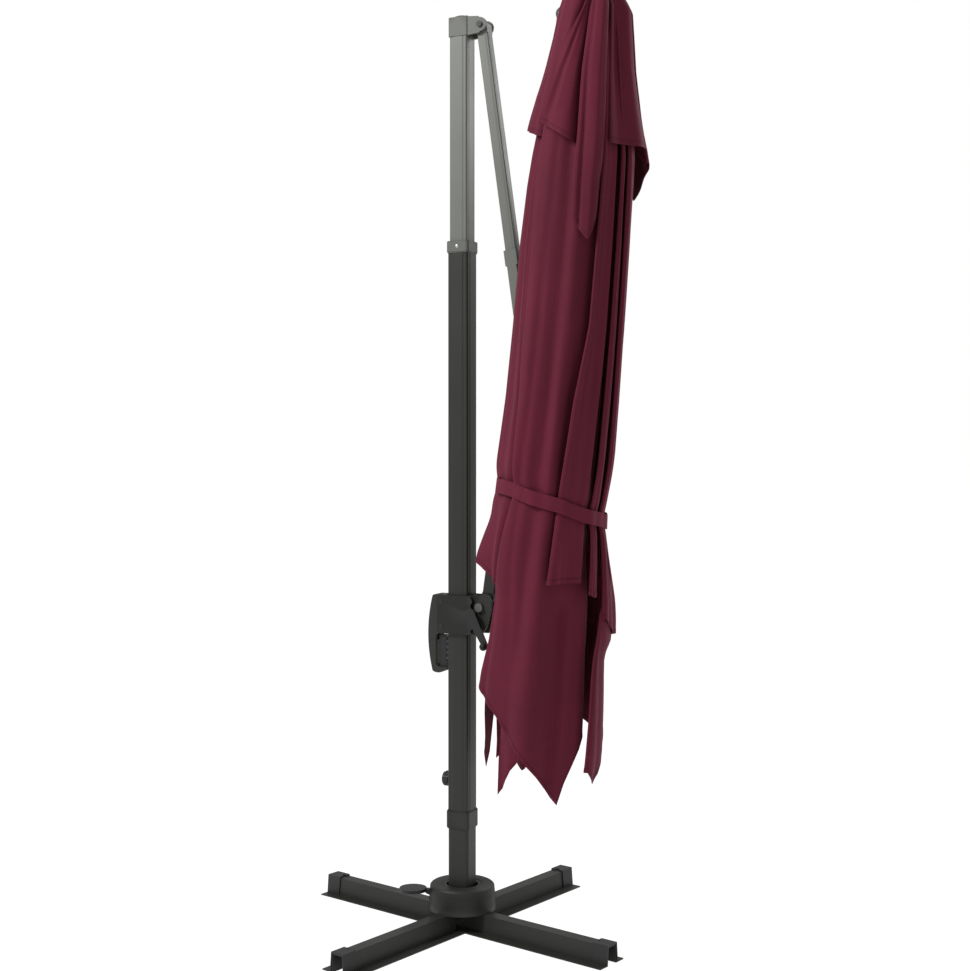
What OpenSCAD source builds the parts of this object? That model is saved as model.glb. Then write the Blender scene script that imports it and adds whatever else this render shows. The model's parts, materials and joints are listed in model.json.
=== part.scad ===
// Cantilever patio umbrella on a cross base, with its canopy folded and tied.
// +Z is up, the origin is on the ground under the mast, and the canopy hangs on the +X side.

/* [Base] */
// Length of each base beam, tip to tip
base_span = 1000; // [800:10:1200]
// Width of a beam across its two flanges
beam_flange_w = 108; // [90:1:130]
// Height of a beam's box section
beam_h = 50; // [45:1:60]
// Angle of the first beam from the canopy side
base_turn = -13.3; // [-45:0.1:45]
// Radius of the hub cover at its skirt
cover_r = 93; // [90:1:115]
// Height of the hub cover
cover_h = 68; // [66:1:84]
// Radius of the fixed spigot that the mast turns on
spigot_r = 15; // [12:0.5:18]

/* [Mast] */
// Width of the lower mast tube
mast_w = 62; // [58:1:66]
// Wall of the lower mast tube
mast_wall = 3; // [2.5:0.1:3.5]
// Width of the upper mast tube
upper_w = 54; // [48:1:54]
// Height at which the lower mast tube stands on the stub pipe
joint_z = 300; // [290:5:360]
// Height of the upper end of the lower mast tube
lower_top_z = 1900; // [1890:10:2300]
// Height of the sides of the head cap
mast_top_z = 2534; // [2500:2:3100]
// Height of the mast lock knob
knob_z = 406; // [400:2:440]

/* [Linkage] */
// Distance of the tie and boom pivots from the mast's centre line
pivot_out = 66; // [64:1:72]
// Distance of the knee pivot from the mast's centre line
knee_out = 180; // [160:1:220]
// Height of the boom's foot pivot with the slider at its lowest place
slider_z = 894; // [860:2:900]
// Width of the tie tube
tie_w = 33; // [28:1:34]
// Width of the boom tube in the plane of the linkage
boom_w = 36; // [34:1:38]
// Distance of the boom tube's centre line outward of its pivot line
boom_offset = 16; // [14:1:18]

/* [Slider] */
// Height of the slider housing
housing_h = 107; // [90:1:110]
// Outer reach of the D handle from the mast's centre line
handle_reach = 98; // [94:1:106]
// Depth of the D handle below the boom's foot pivot
handle_drop = 190; // [170:2:210]
// Length of the crank arm
crank_len = 99; // [80:1:105]

/* [Canopy] */
// Side of the square canopy when it is open
canopy_side = 3000; // [2400:50:3100]
// Radius of the folded canopy between the vent cap and the strap
bundle_r = 142; // [130:1:150]
// Lean of the folded canopy's pole towards the mast
canopy_lean = 4.7; // [2:0.1:6]
// Radius of the canopy's centre pole
pole_r = 17; // [14:0.5:18]

/* [Fits] */
// Radial clearance of every turning pin and shaft
run_fit = 0.05; // [0.02:0.01:0.1]
// Side clearance between moving neighbours
side_gap = 1; // [0.6:0.1:2]

/* [Hidden] */
RIBS = [0 : 7];
$fn = 64;

ANTHRACITE = [0.24, 0.25, 0.23];
GREY = [0.42, 0.42, 0.41];
BLACK = [0.07, 0.07, 0.07];
STEEL = [0.72, 0.72, 0.72];
BORDEAUX = [0.36, 0.12, 0.19];

// Base
beam_box_top = 36;                  // width of the box section at its top
beam_box_foot = 44;                 // width of the box section where it meets the flanges
beam_sheet = 3;                     // sheet thickness
lap_z = beam_h / 2;                 // height at which the two beams lap
cap_len = 38;                       // length of a beam's end cap
cap_proud = 4;                      // how far an end cap stands above the beam
plate_r = 84;
plate_top = beam_h + 6;
bolt_circle_r = 62;
spigot_foot_top = plate_top + 6;
washer_top = spigot_foot_top + 6;
ring_top = washer_top + 6;          // top of the notched ring
ring_r = 55;
stub_z = washer_top + 44;           // lower end of the stub pipe
sleeve_top = stub_z + 12;
cover_top = beam_h + cover_h;
pedal_dir = base_turn + 225;        // the pedal lies midway between two beams
pedal_pivot = [78, plate_top + 36];
pad_reach = 138;                    // centre of the pedal's pad from the mast's centre line
pad_r = 38;
pad_t = 9;

// Mast
panel_w = 29;                       // width of the flat raised panel along each face
panel_rise = 1.2;
mast_face = mast_w / 2 + panel_rise;
mast_bore = mast_w - 2 * mast_wall;
upper_wall = 2.5;
core_bore = mast_bore - 8;
head_pivot_z = mast_top_z - 28;
head_cap_h = 53;
cap_w = upper_w + 5;
upper_collar_h = 33;

// Linkage: tie and boom are the equal sides of an isosceles triangle on the mast's pivot line
half_rise = (head_pivot_z - slider_z) / 2;
rest_angle = atan((knee_out - pivot_out) / half_rise);
link_len = half_rise / cos(rest_angle);
boom_len = (2 * half_rise + 2) / cos(rest_angle);
fork_in = 18.3;                     // inner face of the tie's fork
fork_t = 4;
cheek_in = 19;                      // inner face of the slider's and the head's cheeks
cheek_out = 27;
pin_r = 6;
tie_end = link_len - 140;           // where the tie tube ends above the knee
fork_grip = 40;                     // length of tube held in the fork's sleeve
knee_half = 35;
boom_depth = 34;                    // width of the boom tube across the plane of the linkage

// Slider
housing_z = slider_z - 76;          // underside of the housing
housing_y = mast_w / 2 + 11;
housing_left = -mast_w / 2 - 27;
housing_right = mast_w / 2 + 15;
handle_y = 18;
handle_z = slider_z - handle_drop;
liner_out = mast_w / 2 + 5;
latch_z = slider_z - 24;
latch_r = 5;
trigger_travel = 7;
crank_axis = [housing_right + 1, slider_z - 16];
crank_turn = 61.5;                  // slope of the crank arm below the horizontal at rest
crank_y = -housing_y - 4;
crank_t = 6;

// Canopy, in a frame whose origin is the pole's top and whose -Z runs down the leaning pole
crown = [394, head_pivot_z + 24];
rib_long = canopy_side * sqrt(2) / 2 * 1.02;
rib_short = canopy_side / 2 * 1.035;
rib_r = 42;                         // radius at which the folded ribs hang
rib_wall = 1.5;
rib_splay = 1.5;                    // lean of a folded rib away from the pole, in degrees
rib_short_of_hem = 110;             // how far the cloth's corner or hem hangs past a rib's end
pole_len = 0.55 * rib_long;
strut_top = 0.28 * rib_long;
slot_half = 34;                     // half width of the gap on the mast side that the boom lies in
slot_top = 14;
strap_z = -0.617 * rib_long;
strap_w = 38;
strap_slope = 14;
strap_flat = 131;                   // the strap runs straight across behind the boom
boom_end = [pivot_out + boom_len * sin(rest_angle) + boom_offset * cos(rest_angle),
            slider_z + boom_len * cos(rest_angle) - boom_offset * sin(rest_angle)];
hang = [(boom_end.x - crown.x) * cos(canopy_lean) - (boom_end.y - crown.y) * sin(canopy_lean),
        (boom_end.x - crown.x) * sin(canopy_lean) + (boom_end.y - crown.y) * cos(canopy_lean)];

// Helpers ------------------------------------------------------------------

module rounded_rect(w, d, r) {
  square([w - 2 * r, d], center = true);
  square([w, d - 2 * r], center = true);
  for (x = [-1, 1], y = [-1, 1])
    translate([x * (w / 2 - r), y * (d / 2 - r)]) circle(r);
}

// A square tube's outline with a flat raised panel along each face
module panelled_square(w, r, panel, rise) {
  rounded_rect(w, w, r);
  for (a = [0 : 90 : 270])
    rotate(a)
      polygon([[panel / 2 + 4, w / 2 - 1], [panel / 2 + 4, w / 2], [panel / 2, w / 2 + rise],
               [-panel / 2, w / 2 + rise], [-panel / 2 - 4, w / 2], [-panel / 2 - 4, w / 2 - 1]]);
}

// Extrudes an outline drawn in the X-Z plane between two Y values
module along_y(y_low, y_high) {
  translate([0, y_high, 0]) rotate([90, 0, 0]) linear_extrude(y_high - y_low) children();
}

module pin_y(r, y_low, y_high) {
  translate([0, y_high, 0]) rotate([90, 0, 0]) cylinder(r = r, h = y_high - y_low);
}

module pin_x(r, x_low, x_high) {
  translate([x_low, 0, 0]) rotate([0, 90, 0]) cylinder(r = r, h = x_high - x_low);
}

module at(p) { translate([p.x, 0, p.y]) children(); }

module base_frame() { rotate(base_turn) children(); }

module pedal_frame() { rotate(pedal_dir) at(pedal_pivot) children(); }

// The tie's frame: origin on the head pivot, -Z towards the knee
module tie_frame() { at([pivot_out, head_pivot_z]) rotate([0, -rest_angle, 0]) children(); }

// The boom's frame: origin on the foot pivot, +Z towards the canopy
module boom_frame() { at([pivot_out, slider_z]) rotate([0, rest_angle, 0]) children(); }

module canopy_frame() { at(crown) rotate([0, canopy_lean, 0]) children(); }

// A round-wire compression spring along +Z, swept ring by ring along its helix
module coil_spring(radius, wire_r, length, turns) {
  sides = 6;
  steps = turns * 12;
  points = [for (i = [0 : steps], k = [0 : sides - 1])
    let (turn = 360 * turns * i / steps, out = radius + wire_r * cos(360 * k / sides))
      [out * cos(turn), out * sin(turn),
       wire_r + (length - 2 * wire_r) * i / steps + wire_r * sin(360 * k / sides)]];
  walls = [for (i = [0 : steps - 1], k = [0 : sides - 1])
    [i * sides + k, (i + 1) * sides + k, (i + 1) * sides + (k + 1) % sides, i * sides + (k + 1) % sides]];
  start = [[for (k = [0 : sides - 1]) k]];
  end = [[for (k = [sides - 1 : -1 : 0]) steps * sides + k]];
  polyhedron(points, concat(start, walls, end));
}

// Base ---------------------------------------------------------------------

// The beam's box, as wide as the outline that its sheet is folded from
module hat_box(grow) {
  polygon([[beam_box_foot / 2 + grow, -1], [beam_box_foot / 2 + grow, 0],
           [beam_box_top / 2 + grow, beam_h + grow],
           [-beam_box_top / 2 - grow, beam_h + grow], [-beam_box_foot / 2 - grow, 0],
           [-beam_box_foot / 2 - grow, -1]]);
}

module hat_beam() {
  rotate([90, 0, 90]) translate([0, 0, -base_span / 2])
    linear_extrude(base_span) difference() {
      union() {
        intersection() {
          hat_box(0);
          translate([-beam_flange_w, 0]) square([2 * beam_flange_w, 2 * beam_h]);
        }
        translate([-beam_flange_w / 2, 0]) square([beam_flange_w, beam_sheet]);
      }
      hat_box(-beam_sheet);
    }
}

module plate_bolt_places() {
  for (a = [0 : 90 : 270]) rotate(a) translate([bolt_circle_r, 0, 0]) children();
}

// This beam runs through whole under the lap; its upper half makes way for the other beam
module beam_whole() {
  color(ANTHRACITE) base_frame() difference() {
    hat_beam();
    translate([-beam_box_foot / 2, -beam_box_foot, lap_z]) cube([beam_box_foot, 2 * beam_box_foot, beam_h]);
    plate_bolt_places() cylinder(r = 5.5, h = 2 * beam_h);
  }
}

module beam_lapped() {
  color(ANTHRACITE) base_frame() rotate(90) difference() {
    hat_beam();
    translate([-beam_flange_w / 2, -beam_flange_w, -1]) cube([beam_flange_w, 2 * beam_flange_w, lap_z + 1]);
    translate([-beam_box_foot / 2 + 1, -beam_box_foot, lap_z])
      cube([beam_box_foot - 2, 2 * beam_box_foot, beam_h - lap_z - beam_sheet]);
    plate_bolt_places() cylinder(r = 5.5, h = 2 * beam_h);
  }
}

// A moulded cap over the end of a beam's box, with a small notch in its crown
module end_cap(place) {
  color(BLACK) base_frame() rotate(90 * place)
    translate([base_span / 2 - cap_len - 8, 0, 0]) difference() {
      rotate([90, 0, 90]) linear_extrude(cap_len + 10) difference() {
        polygon([[beam_box_foot / 2 + 3, beam_sheet], [beam_box_top / 2 + 3, beam_h + cap_proud],
                 [-beam_box_top / 2 - 3, beam_h + cap_proud], [-beam_box_foot / 2 - 3, beam_sheet]]);
        hat_box(0);
      }
      translate([-1, -6, beam_h + 1]) cube([9, 12, cap_proud]);
    }
}

module base_plate() {
  color(BLACK) base_frame() difference() {
    union() {
      translate([0, 0, beam_h]) cylinder(r = plate_r, h = plate_top - beam_h);
      rotate(225) for (y = [-17, 11.5])
        translate([pedal_pivot.x - 8, y, plate_top - 2]) cube([14, 5.5, 46]);
    }
    translate([0, 0, beam_h - 1]) cylinder(r = spigot_r - 3, h = 20);
    plate_bolt_places() cylinder(r = 5.5, h = 2 * beam_h);
    rotate(225) at(pedal_pivot) pin_y(3, -20, 20);
  }
}

module base_bolts() {
  color(STEEL) base_frame() plate_bolt_places() {
    translate([0, 0, beam_h - 18]) cylinder(r = 5, h = plate_top - beam_h + 18);
    translate([0, 0, plate_top]) cylinder(r = 8.5, h = 6, $fn = 6);
    difference() {
      translate([0, 0, beam_h - beam_sheet - 8]) cylinder(r = 9, h = 8, $fn = 6);
      translate([0, 0, beam_h - 20]) cylinder(r = 5, h = 20);
    }
  }
}

module spigot() {
  color(STEEL) difference() {
    union() {
      translate([0, 0, plate_top]) cylinder(r = 35, h = spigot_foot_top - plate_top);
      translate([0, 0, plate_top]) cylinder(r = spigot_r, h = sleeve_top + 16 - plate_top);
    }
    translate([0, 0, plate_top - 1]) cylinder(r = spigot_r - 3, h = sleeve_top);
  }
}

module thrust_washer() {
  color("whitesmoke") translate([0, 0, spigot_foot_top]) difference() {
    cylinder(r = 34, h = washer_top - spigot_foot_top - 0.1);
    translate([0, 0, -1]) cylinder(r = spigot_r + 0.2, h = 20);
  }
}

module spigot_nut() {
  color(STEEL) translate([0, 0, sleeve_top + 0.4]) difference() {
    union() {
      cylinder(r = 24, h = 3);
      cylinder(r = 22, h = 12, $fn = 6);
    }
    translate([0, 0, -1]) cylinder(r = spigot_r, h = 20);
  }
}

module hub_cover() {
  edge = 5;                         // bevel between the skirt and the top
  skin = 3;
  color(ANTHRACITE) difference() {
    translate([0, 0, beam_h]) rotate_extrude($fn = 96) difference() {
      polygon([[0, 0], [cover_r, 0], [cover_r - 1, cover_h * 0.6], [cover_r - 3, cover_h - edge],
               [cover_r - 5, cover_h - 2], [cover_r - 8, cover_h], [58, cover_h],
               [55, cover_h - 2], [0, cover_h - 2]]);
      polygon([[-1, -1], [cover_r - skin, -1], [cover_r - skin - 3, cover_h - edge - skin],
               [cover_r - 12, cover_h - 5], [-1, cover_h - 5]]);
    }
    translate([0, 0, beam_h]) cylinder(r = mast_w / 2 * 1.42, h = 2 * cover_h);
    rotate(pedal_dir) translate([cover_r - 20, -11.5, pedal_pivot.y - 16]) cube([30, 23, 30]);
  }
}

module pedal_pin() {
  color(STEEL) pedal_frame() pin_y(3, -17, 17);
}

// Lever with a tooth that drops into the turning ring, a neck through the cover and a round pad
module pedal() {
  color(BLACK) pedal_frame() difference() {
    union() {
      along_y(-10, 10)
        polygon([[-36, -5], [10, -5], [26, 3], [26, 13], [14, 12], [8, 5], [-36, 5]]);
      translate([-32, -4.5, washer_top + 1.5 - pedal_pivot.y]) cube([8, 9, 22]);
      translate([pad_reach - pedal_pivot.x, 0, 8]) scale([1, 0.92, 1]) cylinder(r = pad_r, h = pad_t);
    }
    pin_y(3 + run_fit, -20, 20);
    translate([-22, 0, 0]) cylinder(r = 6, h = 10);
  }
}

module pedal_spring() {
  color(STEEL) pedal_frame() translate([-22, 0, 0.2]) coil_spring(4.5, 0.7, 12, 4);
}

// Mast ---------------------------------------------------------------------

// Notched ring and sleeve that turn on the spigot and carry the stub pipe
module turn_flange() {
  color(STEEL) difference() {
    union() {
      translate([0, 0, washer_top]) cylinder(r = ring_r, h = ring_top - washer_top);
      translate([0, 0, washer_top]) cylinder(r = 26, h = stub_z - washer_top);
      translate([0, 0, stub_z - 4]) linear_extrude(4) rounded_rect(mast_w - 4, mast_w - 4, 6);
      translate([0, 0, stub_z]) linear_extrude(12) rounded_rect(mast_bore - 0.6, mast_bore - 0.6, 5);
    }
    translate([0, 0, washer_top - 1]) cylinder(r = spigot_r + run_fit, h = 80);
    rotate(pedal_dir) for (a = [0 : 15 : 345])
      rotate(a) translate([40, -4.9, washer_top - 1]) cube([20, 9.8, 8]);
  }
}

module stub_pipe() {
  color(ANTHRACITE) translate([0, 0, stub_z]) linear_extrude(joint_z - stub_z) difference() {
    rounded_rect(mast_w, mast_w, 10);
    rounded_rect(mast_bore, mast_bore, 5);
  }
}

// Square liner tube that joins the stub pipe and the mast; the knob's stud is screwed into its boss
module joint_core() {
  color(STEEL) difference() {
    union() {
      translate([0, 0, joint_z - 90]) linear_extrude(knob_z + 40 - joint_z + 90) difference() {
        rounded_rect(mast_bore - 0.4, mast_bore - 0.4, 5);
        rounded_rect(core_bore, core_bore, 3);
      }
      translate([0, 0, knob_z]) pin_x(9, -core_bore / 2 - 1, -core_bore / 2 + 9);
    }
    translate([0, 0, knob_z]) pin_x(4 + run_fit, -40, -5);
  }
}

module lower_collar() {
  low = joint_z - 25;
  color(ANTHRACITE) difference() {
    translate([0, 0, low]) {
      linear_extrude(3) rounded_rect(mast_w + 5, mast_w + 5, 9);
      translate([0, 0, 3]) linear_extrude(44) rounded_rect(mast_w + 8, mast_w + 8, 10);
      translate([0, 0, 47]) linear_extrude(3) rounded_rect(mast_w + 5, mast_w + 5, 9);
    }
    translate([0, 0, low - 1]) linear_extrude(joint_z - low + 1) rounded_rect(mast_w, mast_w, 10);
    translate([0, 0, joint_z]) linear_extrude(60) panelled_square(mast_w, 7, panel_w, panel_rise);
  }
}

module lower_tube() {
  latch_rise = 2 * (link_len * cos(rest_angle) - link_len * cos(rest_angle + 57));
  color(ANTHRACITE) difference() {
    translate([0, 0, joint_z]) linear_extrude(lower_top_z - joint_z) difference() {
      panelled_square(mast_w, 7, panel_w, panel_rise);
      rounded_rect(mast_bore, mast_bore, 5);
    }
    translate([0, 0, knob_z]) pin_x(4 + run_fit, -40, -20);
    for (drop = [0, 90, 180])
      translate([0, 0, latch_z + latch_rise - drop]) pin_x(latch_r + 0.5, -40, -20);
  }
}

module upper_tube() {
  low = lower_top_z - 200;
  color(GREY) translate([0, 0, low]) linear_extrude(mast_top_z - 14 - low) difference() {
    panelled_square(upper_w, 5, panel_w - 4, 0.8);
    rounded_rect(upper_w - 2 * upper_wall, upper_w - 2 * upper_wall, 3);
  }
}

module upper_collar() {
  low = lower_top_z - 22;
  color(GREY) difference() {
    translate([0, 0, low]) {
      linear_extrude(3) rounded_rect(mast_w + 4, mast_w + 4, 8);
      translate([0, 0, 3]) linear_extrude(upper_collar_h - 5) rounded_rect(mast_w + 6.5, mast_w + 6.5, 9);
      translate([0, 0, upper_collar_h - 2]) linear_extrude(2) rounded_rect(mast_w + 4, mast_w + 4, 8);
    }
    translate([0, 0, low - 1]) linear_extrude(lower_top_z - low + 1)
      panelled_square(mast_w, 7, panel_w, panel_rise);
    translate([0, 0, lower_top_z]) linear_extrude(60) panelled_square(upper_w, 5, panel_w - 4, 0.8);
    translate([0, 0, lower_top_z - 4]) pin_y(2.5, -60, 0);
  }
}

module collar_screw() {
  color(STEEL) translate([0, -mast_w / 2 - 3.25, lower_top_z - 4]) difference() {
    union() {
      pin_y(2.5, 0, 2);
      rotate([90, 0, 0]) intersection() {
        cylinder(r = 5, h = 3);
        translate([0, 0, -5]) sphere(r = 7.6);
      }
    }
    translate([-4, -3, -0.6]) cube([8, 1.2, 1.2]);
  }
}

// The cap over the mast's top, with two cheeks that hold the tie
module head_cap() {
  dome_r = 53;
  low = mast_top_z - head_cap_h;
  color(GREY) difference() {
    union() {
      translate([0, 0, low]) linear_extrude(head_cap_h) rounded_rect(cap_w, cap_w, 4);
      intersection() {
        translate([0, 0, mast_top_z - 4]) linear_extrude(30) rounded_rect(cap_w, cap_w, 4);
        translate([0, 0, mast_top_z + 9 - dome_r]) sphere(r = dome_r, $fn = 96);
      }
      for (side = [-1, 1]) {
        near = side < 0 ? -cheek_out : cheek_in + 1.5;
        along_y(near, near + cheek_out - cheek_in - 1.5) {
          polygon([[cap_w / 2 - 6, low - 1], [pivot_out - 4, low + 2], [pivot_out - 4, mast_top_z - 5],
                   [cap_w / 2 - 6, mast_top_z - 1]]);
          translate([pivot_out, head_pivot_z]) circle(19.5);
          translate([pivot_out - 8, low + 2]) square([8, 40]);
        }
      }
    }
    translate([0, 0, low - 2]) linear_extrude(head_cap_h - 12) panelled_square(upper_w, 5, panel_w - 4, 0.8);
    at([pivot_out, head_pivot_z]) pin_y(5, -40, 40);
  }
}

module head_bolt() {
  color(BLACK) at([pivot_out, head_pivot_z]) {
    pin_y(5, -cheek_out - 1, cheek_out + 1);
    pin_y(8, -cheek_out - 5, -cheek_out);
    pin_y(8, cheek_out, cheek_out + 5);
  }
}

module lock_knob() {
  color(BLACK) translate([0, 0, knob_z]) difference() {
    union() {
      pin_x(10, -mast_face - 4, -mast_face - 0.4);
      pin_x(21, -mast_face - 20, -mast_face - 4);
      pin_x(18, -mast_face - 23, -mast_face - 20);
    }
    for (a = [0 : 60 : 300])
      rotate([a, 0, 0]) translate([0, 0, 26]) pin_x(8, -mast_face - 24, -mast_face - 3);
    pin_x(4, -mast_face - 16, 0);
  }
}

module knob_stud() {
  color(STEEL) translate([0, 0, knob_z]) pin_x(4, -mast_face - 16, -core_bore / 2 + 8);
}

// Tie ----------------------------------------------------------------------

module tie_head() {
  color(GREY) tie_frame() difference() {
    union() {
      pin_y(17, -tie_w / 2, tie_w / 2);
      translate([-tie_w / 2, -tie_w / 2, -24]) cube([tie_w, tie_w, 24]);
      translate([-tie_w / 2 + 3, -tie_w / 2 + 3, -64]) cube([tie_w - 6, tie_w - 6, 42]);
    }
    pin_y(5 + run_fit, -30, 30);
  }
}

module tie_tube() {
  color(GREY) tie_frame() translate([0, 0, -tie_end]) linear_extrude(tie_end - 24) difference() {
    panelled_square(tie_w, 4, 13, 0.7);
    rounded_rect(tie_w - 4.4, tie_w - 4.4, 2);
  }
}

// Sleeve on the tie's lower end with two straps that reach past the boom to the knee bolt
module tie_fork() {
  color(GREY) tie_frame() difference() {
    union() {
      translate([0, 0, -tie_end - 3]) linear_extrude(fork_grip + 3)
        rounded_rect(tie_w + 6, 2 * (fork_in + fork_t), 3);
      for (side = [-1, 1]) {
        near = side < 0 ? -fork_in - fork_t : fork_in;
        along_y(near, near + fork_t) {
          translate([-14, -link_len]) square([28, link_len - tie_end + fork_grip]);
          translate([0, -link_len]) circle(14);
        }
      }
    }
    translate([0, 0, -tie_end]) linear_extrude(fork_grip + 10) panelled_square(tie_w, 4, 13, 0.7);
    translate([-30, -fork_in, -tie_end - 10]) cube([60, 2 * fork_in, 7]);
    translate([0, 0, -link_len]) pin_y(pin_r, -40, 40);
  }
}

module knee_bolt() {
  reach = fork_in + fork_t;
  color(BLACK) tie_frame() translate([0, 0, -link_len]) {
    pin_y(pin_r, -reach - 1, reach + 1);
    pin_y(9, -reach - 5, -reach);
    pin_y(9, reach, reach + 5);
  }
}

// Boom ---------------------------------------------------------------------

module boom_outline() { rounded_rect(boom_w, boom_depth, 4); }

module boom_bore() { rounded_rect(boom_w - 5, boom_depth - 5, 2); }

module boom_tube(from, to) {
  translate([boom_offset, 0, from]) linear_extrude(to - from) difference() {
    boom_outline();
    boom_bore();
  }
}

module boom_plug(from, to) {
  translate([boom_offset, 0, from]) linear_extrude(to - from)
    rounded_rect(boom_w - 5.4, boom_depth - 5.4, 2);
}

module boom_foot() {
  color(ANTHRACITE) boom_frame() difference() {
    union() {
      pin_y(17, -boom_depth / 2, boom_depth / 2);
      along_y(-boom_depth / 2, boom_depth / 2)
        polygon([[-17, 0], [-17, 8], [boom_offset - boom_w / 2, 36], [boom_offset - boom_w / 2, 42],
                 [boom_offset + boom_w / 2, 42], [boom_offset + boom_w / 2, 28], [15, -8]]);
      boom_plug(40, 90);
    }
    pin_y(pin_r + run_fit, -30, 30);
  }
}

module boom_lower_tube() { color(ANTHRACITE) boom_frame() boom_tube(42, link_len - knee_half); }

// Solid joint between the two boom tubes, with an eye on the mast side for the knee bolt
module boom_knee() {
  color(ANTHRACITE) boom_frame() difference() {
    union() {
      translate([boom_offset, 0, link_len - knee_half]) linear_extrude(2 * knee_half) boom_outline();
      translate([0, 0, link_len]) pin_y(15, -boom_depth / 2, boom_depth / 2);
      boom_plug(link_len - knee_half - 45, link_len + knee_half + 45);
    }
    translate([0, 0, link_len]) pin_y(pin_r + run_fit, -30, 30);
  }
}

module boom_upper_tube() { color(ANTHRACITE) boom_frame() boom_tube(link_len + knee_half, boom_len - 26); }

module boom_head() {
  color(ANTHRACITE) boom_frame() difference() {
    union() {
      translate([boom_offset, 0, boom_len]) pin_y(boom_w / 2, -boom_depth / 2, boom_depth / 2);
      translate([boom_offset, 0, boom_len - 26]) linear_extrude(26) boom_outline();
      boom_plug(boom_len - 70, boom_len - 20);
    }
    translate([boom_offset, 0, boom_len]) pin_y(pin_r + run_fit, -30, 30);
  }
}

// Slider -------------------------------------------------------------------

module rounded_corner_box(left, right, low, high, r) {
  translate([(left + right) / 2, (low + high) / 2]) rounded_rect(right - left, high - low, r);
}

// Handle outline: a bulging loop that hangs below the housing and curls back under the trigger
module handle_outline() {
  top = housing_z + housing_h;
  bulge = 420;                      // radius of the handle's back
  difference() {
    union() {
      intersection() {
        rounded_corner_box(-handle_reach, -38, handle_z, top, 29.5);
        translate([bulge - handle_reach, (top + handle_z) / 2]) circle(bulge);
      }
      translate([-60, top - 40]) square([30, 40]);
    }
    rounded_corner_box(-74, -20, handle_z + 16, housing_z - 3, 12);
  }
}

module cheek_outline() {
  polygon([[30, housing_z + housing_h], [pivot_out - 6, slider_z + 34], [pivot_out + 22, slider_z + 38],
           [pivot_out + 34, slider_z + 32], [pivot_out + 38, slider_z + 20], [pivot_out + 36, slider_z - 4],
           [pivot_out + 22, slider_z - 52], [pivot_out + 6, slider_z - 76], [30, housing_z]]);
}

module screw_places() {
  left = housing_left + 10;
  right = housing_right - 4;
  for (p = [[left, slider_z + 12], [left, slider_z - 56], [right, slider_z + 16], [right, slider_z - 56]])
    at(p) children();
}

// One half of the housing, on the -Y side of the parting plane
module slider_half() {
  difference() {
    union() {
      along_y(-housing_y, 0)
        rounded_corner_box(housing_left, housing_right, housing_z, housing_z + housing_h, 12);
      along_y(-handle_y, 0) handle_outline();
      along_y(-cheek_out, -cheek_in) cheek_outline();
      screw_places() pin_y(8, -housing_y - 1, -20);
    }
    translate([0, 0, housing_z - 1]) linear_extrude(housing_h + 2)
      square([2 * liner_out, 2 * liner_out], center = true);
    translate([housing_right - 1, -cheek_in, housing_z - 50]) cube([100, 40, 200]);
    at([pivot_out, slider_z]) pin_y(18.5, -cheek_in, 1);
    at([pivot_out, slider_z]) pin_y(pin_r, -60, 1);
    screw_places() {
      pin_y(5.5, -housing_y - 4, -housing_y + 3);
      pin_y(2.5, -housing_y - 4, 1);
    }
    trigger_room();
  }
}

// Room in the housing and the handle for the trigger, its web, the latch pin and the return spring
module trigger_room() {
  along_y(-10, 10) rounded_corner_box(-75, -20, handle_z + 9, housing_z - 2, 6);
  translate([-79, -6.6, housing_z - 24]) cube([22, 13.2, 84]);
  translate([0, 0, latch_z]) pin_x(latch_r + run_fit, -60, -30);
  translate([0, 0, latch_z - 28]) pin_x(6, -93, -70);
}

module slider_front() {
  color(ANTHRACITE) difference() {
    slider_half();
    at(crank_axis) {
      pin_y(5 + run_fit, -60, -20);
      pin_y(10.5, -39, -28);
    }
  }
}

module slider_back() { color(ANTHRACITE) mirror([0, 1, 0]) slider_half(); }

// Plastic sleeve between the housing and the mast
module glide_liner() {
  gap = mast_face + 0.8;
  color(BLACK) difference() {
    translate([0, 0, housing_z + 2]) linear_extrude(housing_h - 4) difference() {
      square([2 * liner_out, 2 * liner_out], center = true);
      square([2 * gap, 2 * gap], center = true);
    }
    translate([0, 0, latch_z]) pin_x(latch_r + 1, -40, -20);
  }
}

module slider_screws() {
  color(BLACK) screw_places() {
    pin_y(5.2, -housing_y - 0.5, -housing_y + 3);
    pin_y(2.4, -housing_y + 3, housing_y - 3);
    pin_y(5.2, housing_y - 3, housing_y + 0.5);
  }
}

module foot_bolt() {
  color(GREY) at([pivot_out, slider_z]) {
    pin_y(pin_r, -cheek_out - 1, cheek_out + 1);
    pin_y(12, -cheek_out - 9, -cheek_out);
    pin_y(12, cheek_out, cheek_out + 9);
  }
}

// Finger bar with a wavy front, on a web that reaches up to the latch pin
module grip_trigger() {
  low = handle_z + 12;
  high = housing_z - 8;
  pitch = (high - low) / 6;
  color(BLACK) difference() {
    union() {
      along_y(-9, 9) difference() {
        rounded_corner_box(-66, -42, low, high, 5);
        for (i = [0 : 5]) translate([-37, low + pitch * (i + 0.5)]) circle(pitch * 0.62);
      }
      translate([-70, -6, housing_z - 22]) cube([10, 12, 70]);
    }
    translate([0, 0, latch_z]) pin_x(3, -66, -50);
  }
}

module latch_pin() {
  color(STEEL) translate([0, 0, latch_z]) {
    pin_x(latch_r, -60, -mast_face - 0.5);
    pin_x(3, -66, -59);
  }
}

module latch_spring() {
  color(STEEL) translate([-84, 0, latch_z - 28]) rotate([0, 90, 0]) coil_spring(4.2, 0.7, 13.8, 5);
}

// Crank --------------------------------------------------------------------

module crank_frame() { at(crank_axis) rotate([0, crank_turn, 0]) children(); }

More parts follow.
